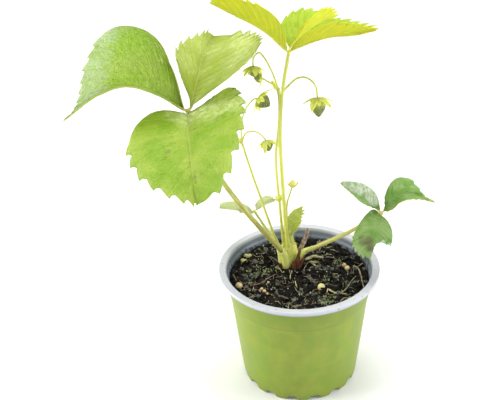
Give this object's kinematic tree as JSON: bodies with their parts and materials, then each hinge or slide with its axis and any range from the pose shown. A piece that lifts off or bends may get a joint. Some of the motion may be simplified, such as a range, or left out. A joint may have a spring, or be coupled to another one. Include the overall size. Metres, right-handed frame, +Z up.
{
  "type": "potted strawberry plant",
  "caption": "Young strawberry plant with toothed three-part leaves and hanging green fruits, rooted in soil in a round thermoformed nursery pot.",
  "frame": {"origin": "middle of the pot's flat underside pad, on the surface it stands on", "axes": "+Z up, pot axis along Z; the large three-part leaf reaches towards -X, the small right leaf towards +X, -Y is the front"},
  "size_m": [0.1885, 0.1157, 0.2267],
  "materials": {
    "pot": "thin thermoformed plastic, green outside, grey rim and inside, satin",
    "soil": "moist dark peat with bark, fibres and fertiliser beads",
    "crown": "pale green sheaths with red-brown papery scales",
    "leaf_green": "living leaf, soft sheen, impressed side veins",
    "leaf_young": "young leaf, yellow-green, translucent",
    "leaf_pale": "small pale leaf, matt",
    "leaf_dark": "older leaf, darker green, soft sheen",
    "truss": "green stems and calyces with unripe fruits"
  },
  "bodies": {
    "root": {"pot": "pot", "soil": "soil", "crown": "crown", "leaf_left": "leaf_green", "leaf_top": "leaf_young", "leaf_small": "leaf_pale", "leaf_young": "leaf_green", "leaf_right": "leaf_dark", "fruit_truss_upper": "truss", "fruit_truss_lower": "truss", "bud_stalk": "truss"}
  },
  "joints": []
}
